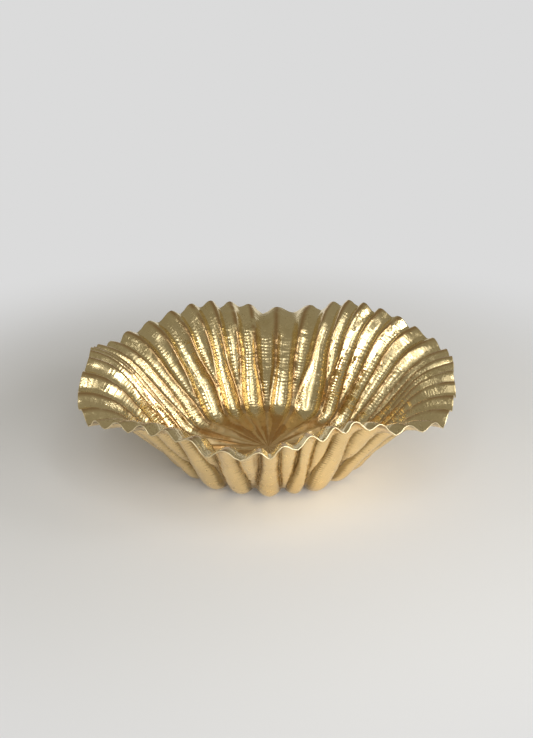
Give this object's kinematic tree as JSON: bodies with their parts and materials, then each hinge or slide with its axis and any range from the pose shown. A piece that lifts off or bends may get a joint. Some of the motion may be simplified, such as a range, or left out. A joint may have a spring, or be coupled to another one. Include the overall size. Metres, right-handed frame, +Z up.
{
  "type": "bowl",
  "caption": "Wide, shallow fluted bowl raised from hammered brass sheet, with a flared wavy rim, for floating flowers and candles.",
  "frame": {"origin": "centre of the felt disc's lower face, where the bowl stands, in line with the point where the creases of the floor meet", "axes": "+Z up, out of the bowl's mouth; -Y towards the side of the bowl that the picture shows in front; +X to the right"},
  "size_m": [0.3576, 0.3755, 0.1126],
  "materials": {
    "brass": "hammered, bright inside and satin outside",
    "felt": "matt pressed felt"
  },
  "bodies": {
    "root": {"bowl_shell": "brass", "base_felt": "felt"}
  },
  "joints": []
}
